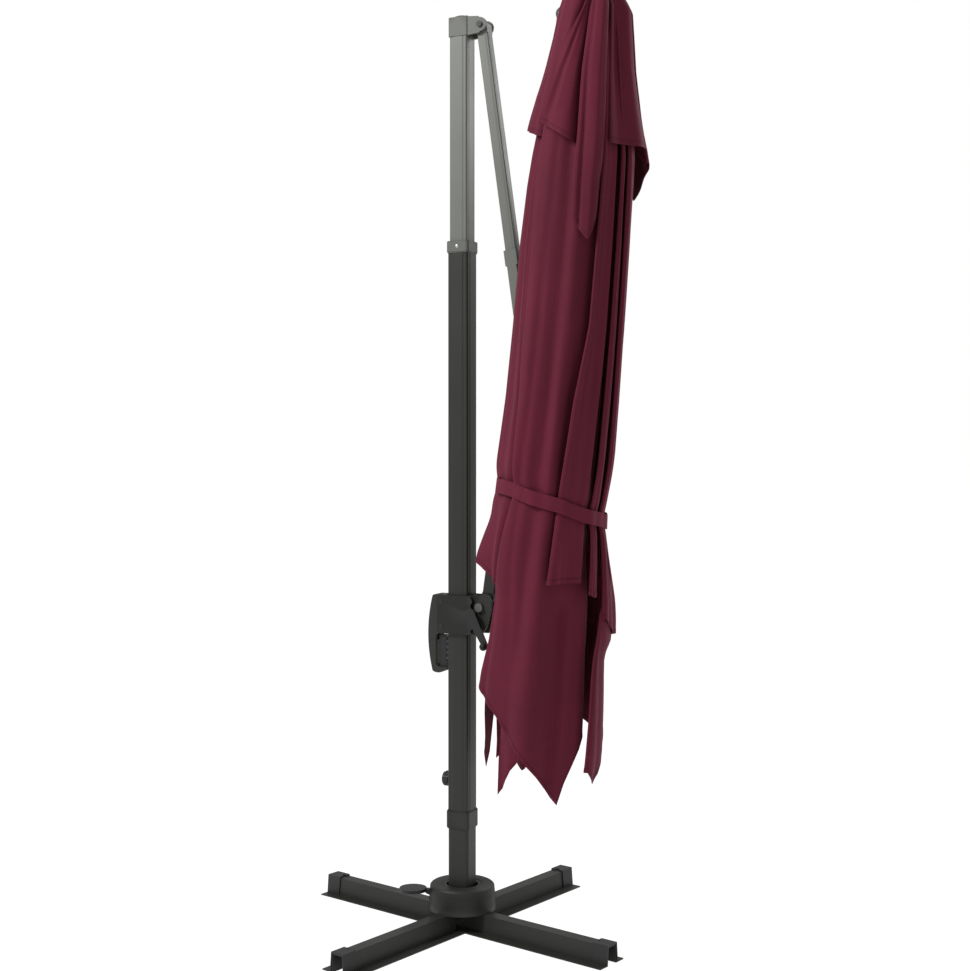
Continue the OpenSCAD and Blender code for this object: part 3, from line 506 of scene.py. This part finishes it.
def place_column(pleats, index, part, t, d, radius, gather, core, squeeze):
    """Angle and radius of one column of the cloth at its depths d."""
    p = pleats[index]
    edge = angle_at(p["edge"], d)
    next_edge = angle_at(p["next_edge"], d)
    width = np.maximum(next_edge - edge, NO_WIDTH)
    lip, drop = p["lip"] * squeeze, p["drop"] * squeeze
    if part == "outer":
        theta = edge + width * t
        lift = along(p["offsets"], t) * squeeze
        fall = drop * smooth(0.70, 1.0, t) if index < len(pleats) - 1 else 0
        return theta, radius(theta, d) + lift + lip * (1 - smooth(0, 0.2, t)) - fall
    if part == "fold":
        turn = math.pi * (1 - t)
        middle = radius(edge, d) + p["offsets"][0] * squeeze + lip
        theta = edge - FOLD_TURN * math.sin(turn)
        return theta, middle - FOLD_HALF + FOLD_HALF * math.cos(math.pi - turn)
    if part == "tail":
        theta = next_edge + (angle_at(p["tail"], d) - next_edge) * t
        r = radius(theta, d) + p["offsets"][-1] * squeeze - drop - p["tail_drop"] * t
        return theta, r + p["skirt"] * smooth(1.66, 1.95, d) * t
    start = angle_at(pleats[index - 1]["tail"], d) - (math.tau if index == 0 else 0)
    start = np.maximum(start, edge + 0.12)
    end = np.maximum(start + 0.2, edge + np.minimum(width * 0.85, 0.9))
    if part == "under":
        theta = end + (edge - end) * t
        lift = along(p["offsets"], np.clip((theta - edge) / width, 0, 1)) * squeeze
        r = radius(theta, d) + lift + lip * smooth(0.6, 1, t)
        return theta, r - UNDER_GAP - UNDER_SINK * (1 - t)
    theta = start + (end - start) * t
    phase = t * gather
    high = radius(theta, d) - GATHER_DEPTH
    low = np.minimum(core, high - 0.002)
    return theta, low + (high - low) * (0.5 + 0.5 * math.cos(math.tau * phase))


# %% Folds, the cap's flare and the strap's pinch
CAP_SEED = 9            # gives the cap other creases than the canopy
CAP_FLARE = 0.010       # how far the cap's hem stands out
STRAP_PINCH = 0.007     # how far the strap presses the cloth in
PUCKER = 0.0016         # height of the small puckers above and below the strap


def settle(theta, r, d, index, part, hem, squeeze, strap):
    """A column's radius once the cloth hangs: creased, flared at the cap's hem, or tied in."""
    if part in ("outer", "tail", "fold"):
        amount = np.clip(d / 0.4, 0.25, 1) * (squeeze if strap else 0.7)
        fade = 0.35 if part == "fold" else 1.0
        r = r + wave(theta, d, index * 1.7 + (0 if strap else CAP_SEED)) * amount * fade
        if not strap:
            r = r + CAP_FLARE * swell(hem, d, 0.09)
    if strap:
        line = strap_line(theta)
        near = swell(d, line, 0.035)
        r = r - STRAP_PINCH * near
        r = r + PUCKER * swell(d, line, 0.09) * np.sin(theta * 29 + index) * (1 - near)
    return r


# %% Bend a grid
def bend_grid(points):
    """A grid bent to an array of points, and the (row, column) of each of its vertices."""
    rows, count = points.shape[:2]
    bm = bmesh.new()
    bmesh.ops.create_grid(bm, x_segments=count - 1, y_segments=rows - 1, size=0.5)
    cells = []
    for v in bm.verts:
        cell = round((0.5 - v.co.y) * (rows - 1)), round((v.co.x + 0.5) * (count - 1))
        v.co = points[cell]
        cells.append(cell)
    bm.verts.index_update()
    return bm, cells


# %% Lay one pleated sheet
def lay_sheet(name, pleats, radius, start_depth, rows, gather, core, strap=True):
    """Bends a grid into pleats and returns the object, with its points for the hem tape."""
    columns = list_columns(len(pleats), gather)
    hem = np.array([hem_depth(pleats, *column) for column in columns])
    place = np.linspace(0, 1, rows) ** 0.92
    depth = start_depth + place[:, None] * (hem[None, :] - start_depth)
    x = np.zeros_like(depth)
    y = np.zeros_like(depth)
    for c, (index, part, t) in enumerate(columns):
        d = depth[:, c]
        squeeze = 1 - 0.55 * swell(d, STRAP_DEPTH, 0.07) if strap else 1
        theta, r = place_column(pleats, index, part, t, d, radius, gather, core, squeeze)
        r = settle(theta, r, d, index, part, hem[c], squeeze, strap)
        y[:, c] = r * np.sin(theta)
        x[:, c] = clear_of_boom(r * np.cos(theta), y[:, c], d)
    grid = to_model(x, y, depth)
    bm, cells = bend_grid(grid)
    bmesh.ops.recalc_face_normals(bm, faces=bm.faces)
    step = np.linalg.norm(np.diff(grid[int(rows * 0.6)], axis=0), axis=1)
    run = np.concatenate([[0], np.cumsum(step)])
    uv = bm.loops.layers.uv.new("cloth")
    for face in bm.faces:
        for loop in face.loops:
            row, c = cells[loop.vert.index]
            loop[uv].uv = (run[c], depth[row, c])
    sheet = make_object(name, bm, smooth_faces=True)
    to_hem = sheet.data.attributes.new("to_hem", "FLOAT", "POINT")
    to_hem.data.foreach_set("value", [hem[c] - depth[row, c] for row, c in cells])
    area = sum(face.area for face in sheet.data.polygons)
    print(f"{name}: {len(columns)} columns, {rows} rows, {area:.2f} square metres of cloth")
    return sheet, grid


# %% [markdown]
# ## The canopy's pleats
# The pleats are listed in the order in which they lie round the bundle, starting beside the boom
# on the near side. The four long strips carry the canopy's corners and hang lowest. The short
# strips between them belong to the middles of the sides, and end just below the strap.

# %% Pleats of the canopy
near_boom = pleat(
    edge=[(0.0, 205), (0.5, 199), (1.3, 203), (1.45, 204), (1.6, 212)],
    next_edge=[
        (0.3, 240), (0.87, 241), (1.07, 247), (1.3, 250), (1.45, 243), (1.6, 236), (1.9, 231),
    ],
    tail=[(0.3, 262), (1.3, 272), (1.6, 272), (1.9, 275)],
    offsets=[0.000, 0.002, -0.004, 0.003, -0.012],
    hems=[1.520, 1.538, 1.556, 1.572, 1.585],
    tail_hems=[1.80, 2.135, 2.115, 2.09, 2.06, 2.04, 2.01],
    drop=0.014,
    tail_drop=-0.004,
)
front_corner = pleat(
    edge=[(0.3, 240), (0.87, 241), (1.07, 247), (1.3, 250), (1.45, 243), (1.6, 234), (1.85, 222)],
    next_edge=[(0.4, 316), (0.87, 313), (1.07, 303), (1.3, 296), (1.6, 296), (2.0, 298)],
    tail=[(0.4, 335), (1.3, 340), (1.6, 344), (2.1, 344)],
    offsets=[0.006, 0.014, 0.008, -0.003, 0.009, 0.012, 0.002],
    hems=[1.855, 1.885, 1.915, 1.96, 2.0, 2.04, 2.08],
    tail_hems=[2.10, 2.12, 2.138, 2.08, 2.03, 1.99, 1.96],
    drop=0.018,
)
front_flap = pleat(
    edge=[(0.4, 316), (0.87, 313), (1.07, 303), (1.3, 296), (1.6, 290)],
    next_edge=[(0.4, 340), (0.87, 338), (1.3, 335), (1.6, 331)],
    tail=[(0.4, 354), (1.3, 356), (1.6, 350)],
    offsets=[0.008, 0.012, 0.004, 0.008, -0.006],
    hems=[1.552, 1.547, 1.545, 1.543, 1.542],
    tail_hems=[1.54, 1.53],
    drop=0.015,
)
narrow_flap = pleat(
    edge=[(0.4, 340), (0.87, 338), (1.3, 335), (1.6, 333)],
    next_edge=[(0.4, 352), (0.87, 353), (1.3, 356), (1.6, 349)],
    tail=[(0.4, 372), (1.3, 374), (1.6, 370)],
    offsets=[0.006, 0.008, 0.002, -0.004],
    hems=[1.575, 1.582, 1.582, 1.57],
    tail_hems=[1.56, 1.54],
    drop=0.013,
)
side_flap = pleat(
    edge=[(0.4, 352), (0.87, 353), (1.3, 356), (1.6, 352)],
    next_edge=[(0.4, 394), (1.3, 396), (1.6, 398)],
    tail=[(0.4, 410), (1.3, 416), (1.6, 418)],
    offsets=[0.004, 0.010, -0.002, 0.008, -0.002],
    hems=[1.64, 1.665, 1.69, 1.69, 1.655],
    tail_hems=[1.66, 1.68, 1.66],
    drop=0.015,
)
side_corner = pleat(
    edge=[(0.4, 394), (1.3, 396), (1.5, 380), (1.62, 352), (1.8, 342), (2.0, 339)],
    next_edge=[(0.4, 436), (1.3, 440), (1.6, 436)],
    tail=[(0.4, 452), (1.3, 462), (1.6, 460)],
    offsets=[0.000, 0.004, -0.004, 0.002, 0.006, -0.002],
    hems=[2.045, 2.085, 2.05, 2.02, 1.995, 1.98, 1.96, 1.93, 1.90, 1.87],
    tail_hems=[1.7, 1.6],
)
back_flap = pleat(
    edge=[(0.4, 436), (1.3, 440), (1.6, 436)],
    next_edge=[(0.4, 464), (1.3, 466), (1.6, 462)],
    tail=[(0.4, 480), (1.3, 484), (1.6, 484)],
    offsets=[0.008, 0.006, 0.002, -0.002],
    hems=[1.58, 1.575, 1.57, 1.57],
    tail_hems=[1.56, 1.6],
)
back_corner = pleat(
    edge=[(0.4, 464), (1.3, 466), (1.6, 458), (1.9, 446)],
    next_edge=[(0.4, 500), (1.3, 502), (1.6, 498)],
    tail=[(0.4, 512), (1.3, 520), (1.6, 520), (2.0, 530)],
    offsets=[0.006, 0.009, 0.006, 0.002, -0.002],
    hems=[1.90, 1.98, 2.07, 2.13, 2.09],
    tail_hems=[2.02, 1.92, 1.8],
)
far_boom = pleat(
    edge=[(0.4, 500), (1.3, 502), (1.6, 498)],
    next_edge=[(0.4, 521), (1.3, 520), (1.6, 516)],
    tail=[(0.4, 548), (1.3, 548), (1.6, 545), (1.9, 558)],
    offsets=[0.006, 0.006, 0.002, -0.004],
    hems=[1.58, 1.56, 1.55, 1.56],
    tail_hems=[1.60, 1.68, 1.80, 1.96, 2.05, 2.09, 2.05],
    skirt=0.032,
)
CANOPY_PLEATS = [
    near_boom,
    front_corner,
    front_flap,
    narrow_flap,
    side_flap,
    side_corner,
    back_flap,
    back_corner,
    far_boom,
]


# %% The canopy's cloth
LEFT_FLAP = math.radians(206)
RIGHT_FLAP = math.radians(22)
VALLEY = math.radians(-52)


def canopy_radius(theta, depth):
    """The bundle's radius; the side flaps below the strap stand out like a skirt."""
    r = bundle_radius(theta, depth)
    flare = smooth(1.38, 1.54, depth) * (1 - smooth(1.57, 1.61, depth))
    r = r + 0.036 * swell(theta, LEFT_FLAP, 0.36) * flare
    turned = (theta + math.pi) % math.tau - math.pi
    low = smooth(1.45, 1.68, depth) * (1 - smooth(1.70, 1.76, depth))
    r = r + 0.018 * swell(turned, RIGHT_FLAP, 0.5) * low
    return r - 0.024 * swell(turned, VALLEY, 0.10) * smooth(1.56, 1.64, depth)


canopy, canopy_grid = lay_sheet(
    "canopy_cloth", CANOPY_PLEATS, canopy_radius, start_depth=0.02, rows=118, gather=6, core=0.056
)

# %% [markdown]
# ## The vent cap
# A small square of the same cloth sits over the crown, so that wind can blow out under it. It's
# laid in the same way, but with flat pleats only, because there is much less cloth in it. Its
# hems stand away from the canopy and its corners hang in points.

# %% Pleats of the vent cap
CAP_DEPTHS = [-0.05, -0.035, -0.015, 0.0, 0.023, 0.103, 0.18, 0.26, 0.343, 0.437, 0.50, 0.64]
CAP_NEAR = [0.014, 0.040, 0.064, 0.078, 0.084, 0.095, 0.108, 0.123, 0.133, 0.138, 0.142, 0.142]
CAP_AWAY = [0.014, 0.044, 0.068, 0.080, 0.094, 0.105, 0.115, 0.130, 0.143, 0.160, 0.146, 0.144]


def cap_radius(theta, depth):
    near = np.interp(depth, CAP_DEPTHS, CAP_NEAR)
    away = np.interp(depth, CAP_DEPTHS, CAP_AWAY)
    return blend_sides(theta, near, away)


CAP_PLEATS = [
    pleat(
        edge=[(0.0, 212), (0.1, 205), (0.35, 202)],
        next_edge=[(-0.03, 290), (0.1, 268), (0.2, 255), (0.33, 245)],
        tail=[(0.0, 296), (0.33, 262)],
        offsets=[0.0, 0.006, -0.002, -0.010],
        hems=[0.352, 0.362, 0.374, 0.38],
        tail_hems=[0.37, 0.36],
    ),
    pleat(
        edge=[(-0.03, 290), (0.1, 268), (0.2, 255), (0.33, 245)],
        next_edge=[(-0.03, 290), (0.02, 288), (0.2, 285), (0.37, 287)],
        tail=[(0.0, 300), (0.33, 302)],
        offsets=[0.010, 0.012, 0.004, -0.006],
        hems=[0.346, 0.366, 0.386, 0.405],
        tail_hems=[0.40, 0.40],
    ),
    pleat(
        edge=[(-0.03, 290), (0.02, 288), (0.2, 285), (0.37, 287), (0.5, 287), (0.65, 290)],
        next_edge=[(0.0, 325), (0.37, 320), (0.63, 314)],
        tail=[(0.0, 335), (0.33, 333), (0.63, 316)],
        offsets=[0.002, 0.016, 0.020, 0.008, -0.008],
        hems=[0.600, 0.622, 0.640, 0.650, 0.625, 0.57, 0.50],
        tail_hems=[0.44, 0.40],
    ),
    pleat(
        edge=[(0.0, 325), (0.37, 321)],
        next_edge=[(0.0, 384), (0.37, 386)],
        tail=[(0.0, 392), (0.37, 398)],
        offsets=[-0.012, -0.016, -0.008, 0.006, 0.010, 0.006, 0.002],
        hems=[0.392, 0.390, 0.388, 0.386, 0.384],
        tail_hems=[0.40, 0.42],
    ),
    pleat(
        edge=[(0.0, 384), (0.37, 380), (0.45, 376)],
        next_edge=[(0.0, 430), (0.5, 434)],
        tail=[(0.0, 442), (0.5, 448)],
        offsets=[0.002, 0.006, 0.002, -0.003],
        hems=[0.42, 0.48, 0.515, 0.46, 0.39],
        tail_hems=[0.37, 0.36],
    ),
    pleat(
        edge=[(0.0, 430), (0.5, 434)],
        next_edge=[(0.0, 476), (0.4, 480)],
        tail=[(0.0, 486), (0.4, 492)],
        offsets=[0.004, 0.006, 0.002, -0.003],
        hems=[0.36, 0.355, 0.352, 0.36],
        tail_hems=[0.37, 0.38],
    ),
    pleat(
        edge=[(0.0, 476), (0.4, 480)],
        next_edge=[(0.0, 506), (0.4, 508)],
        tail=[(0.0, 512), (0.4, 514)],
        offsets=[0.004, 0.008, 0.004, -0.002],
        hems=[0.42, 0.52, 0.56, 0.50, 0.42],
        tail_hems=[0.38, 0.37],
    ),
    pleat(
        edge=[(0.0, 506), (0.4, 508)],
        next_edge=[(0.0, 510), (0.1, 515), (0.4, 518)],
        tail=[(0.0, 511), (0.1, 517), (0.4, 520)],
        offsets=[0.004, 0.004, 0.0],
        hems=[0.37, 0.36, 0.352],
        tail_hems=[0.35, 0.35],
    ),
]
vent_cap, cap_grid = lay_sheet(
    "vent_cap_cloth", CAP_PLEATS, cap_radius, -0.048, 60, 0, 0.05, strap=False
)

# %% [markdown]
# ## Hems
# Outdoor cloth frays, so its edge is folded over and stitched down. The turned hem is a narrow
# tape of double cloth along the sheet's last row. It gives the cloth a visible thickness just
# where it's looked at edge on. A tape is one more bent grid: its rows are the tape's four long
# edges, with the first one repeated, and the seam is welded.


# %% Hem tapes
HEM_WIDTH = 0.011
HEM_THICK = 0.0016
HEM_BELOW = 0.0008      # how far the tape goes past the sheet's own edge
WELD = 1e-6


def bend_band(name, edges, closed=False):
    """A solid tape from its four long edges. A closed one joins end to end."""
    sides = np.array([*edges, edges[0]])
    if closed:
        sides = np.concatenate([sides, sides[:, :1]], axis=1)
    bm, _ = bend_grid(sides)
    bmesh.ops.remove_doubles(bm, verts=bm.verts, dist=WELD)
    if not closed:
        bmesh.ops.holes_fill(bm, edges=bm.edges, sides=4)
    bmesh.ops.recalc_face_normals(bm, faces=bm.faces)
    gaps = sum(1 for e in bm.edges if not e.is_manifold)
    print(f"{name}: {len(bm.faces)} faces, {gaps} open edges")
    return make_object(name, bm)


def unit(vectors):
    return vectors / np.maximum(np.linalg.norm(vectors, axis=1, keepdims=True), 1e-9)


def hem_tape(name, grid):
    """A flat closed tape along the last row of a sheet."""
    edge = grid[-1]
    up = unit(grid[-4] - edge)
    out = unit(np.cross(unit(np.gradient(edge, axis=0)), up)) * HEM_THICK / 2
    low, high = edge - HEM_BELOW * up, edge + HEM_WIDTH * up
    return bend_band(name, [low - out, low + out, high + out, high - out])


canopy_hem = hem_tape("canopy_hem", canopy_grid)
cap_hem = hem_tape("vent_cap_hem", cap_grid)

# %% [markdown]
# ## The tie strap
# The strap is a doubled band of the same cloth, 38 mm wide. It's pulled tight round the bundle,
# and on the mast side it passes between the boom and the cloth.


# %% Tie strap
STRAP_POINTS = 180
STRAP_WIDTH = 0.038
STRAP_THICK = 0.003
STRAP_STAND = 0.001         # gap between the band and the cloth under it
BAND_BEHIND_BOOM = 0.0095   # how far the band stays below the boom's inner face


def strap_edge(side, stand):
    """One long edge of the band, pressed onto the bundle; side is -0.5 or 0.5 of its width."""
    theta = np.linspace(0, math.tau, STRAP_POINTS, endpoint=False)
    depth = strap_line(theta) + side * STRAP_WIDTH + 0.0016 * np.sin(theta * 7)
    r = canopy_radius(theta, depth) + FOLD_HALF + stand + 0.0012 * np.sin(theta * 11 + 1)
    r = r + 0.0008 * np.sin(theta * 23)
    x = np.maximum(r * np.cos(theta), -(boom_face(depth) - BAND_BEHIND_BOOM + stand))
    return to_model(x, r * np.sin(theta), depth)


inner, outer = STRAP_STAND, STRAP_STAND + STRAP_THICK
strap_edges = [
    strap_edge(-0.5, inner),
    strap_edge(-0.5, outer),
    strap_edge(0.5, outer),
    strap_edge(0.5, inner),
]
strap = bend_band("strap_band", strap_edges, closed=True)

# %% [markdown]
# ## The cloth's finish
# The cover is woven polyester in a deep wine red. Up close it has a plain weave; from further
# away its colour varies a little where it has been handled and faded, and it has a soft sheen
# along the folds. A row of stitches runs along each hem. The weave follows the sheet's own UV
# map, so it turns with the folds; the tapes and the strap are too small for that to matter.


# %% Cloth material
THREADS = 190.0
STITCH_REACH = 0.05     # the stitches' ramp covers this much cloth, measured up from the hem


def multiply(mat, first, second):
    node = add(mat, "ShaderNodeMix", data_type="RGBA", blend_type="MULTIPLY")
    node.inputs["Factor"].default_value = 1.0
    join(mat, first, node.inputs["A"])
    join(mat, second, node.inputs["B"])
    return node.outputs["Result"]


def cloth(name, colour, stitched=True):
    """Plain woven cloth with faded patches and small creases; a sheet has its row of stitches."""
    mat, shader = new_material(name)
    spot = add(mat, "ShaderNodeTexCoord").outputs["Object"]
    patches = add(mat, "ShaderNodeTexNoise", Scale=2.2, Detail=5.0, Roughness=0.62)
    join(mat, spot, patches.inputs["Vector"])
    worn, fresh = shade(colour, 0.86), shade(colour, 1.14)
    tone = ramp(mat, patches.outputs["Fac"], [(0.32, worn), (0.68, fresh)])
    place = add(mat, "ShaderNodeUVMap").outputs["UV"] if stitched else spot
    weave = add(mat, "ShaderNodeMath", operation="MULTIPLY")
    for slot, direction in enumerate("XY"):
        yarn = add(mat, "ShaderNodeTexWave", Scale=THREADS, Distortion=0.6, Detail=1.0)
        yarn.bands_direction = direction
        join(mat, place, yarn.inputs["Vector"])
        join(mat, yarn.outputs["Fac"], weave.inputs[slot])
    thread = ramp(mat, weave.outputs[0], [(0.0, grey(0.86)), (0.6, grey(1.06))])
    colour_out = multiply(mat, tone, thread)
    if stitched:
        seam = add(mat, "ShaderNodeAttribute", attribute_name="to_hem")
        span = add(mat, "ShaderNodeMapRange", From_Max=STITCH_REACH)
        join(mat, seam.outputs["Fac"], span.inputs["Value"])
        row = [(0.22, grey(1.0)), (0.25, grey(0.62)), (0.30, grey(1.0))]
        colour_out = multiply(mat, colour_out, ramp(mat, span.outputs["Result"], row))
    join(mat, colour_out, shader.inputs["Base Color"])
    creases = add(mat, "ShaderNodeTexNoise", Scale=14.0, Detail=6.0, Roughness=0.6)
    join(mat, spot, creases.inputs["Vector"])
    crease_bump = add(mat, "ShaderNodeBump", Strength=0.35, Distance=0.004)
    join(mat, creases.outputs["Fac"], crease_bump.inputs["Height"])
    weave_bump = add(mat, "ShaderNodeBump", Strength=0.3, Distance=0.0003)
    join(mat, weave.outputs[0], weave_bump.inputs["Height"])
    join(mat, crease_bump.outputs["Normal"], weave_bump.inputs["Normal"])
    join(mat, weave_bump.outputs["Normal"], shader.inputs["Normal"])
    shader.inputs["Roughness"].default_value = 0.78
    shader.inputs["Specular IOR Level"].default_value = 0.15
    shader.inputs["Sheen Weight"].default_value = 0.12
    shader.inputs["Sheen Roughness"].default_value = 0.45
    shader.inputs["Sheen Tint"].default_value = (0.9, 0.45, 0.55, 1)
    return mat


# %% The cloth's pieces get their colour
WINE = (0.118, 0.0122, 0.0300)
wine_cloth = cloth("wine_canvas", WINE)
wine_hem = cloth("wine_hem", shade(WINE, 0.95), stitched=False)
wine_strap = cloth("wine_webbing", shade(WINE, 1.02), stitched=False)
for piece, finish in (
    (canopy, wine_cloth),
    (vent_cap, wine_cloth),
    (canopy_hem, wine_hem),
    (cap_hem, wine_hem),
    (strap, wine_strap),
):
    piece.data.materials.append(finish)
print("cloth pieces:", ", ".join(o.name for o in (canopy, vent_cap, canopy_hem, cap_hem, strap)))

# %% [markdown]
# ## Put the cloth on its body
# Each sewn piece rides on the canopy, so it follows when the boom lifts it. The CAD model's plain
# stand-ins for the cloth are replaced.

# %% Bodies, and the CAD stand-ins hidden
for piece in (canopy, vent_cap, canopy_hem, cap_hem, strap):
    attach(piece, "canopy")
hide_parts("canopy_cover")
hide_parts("vent_cap")
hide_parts("tie_strap")
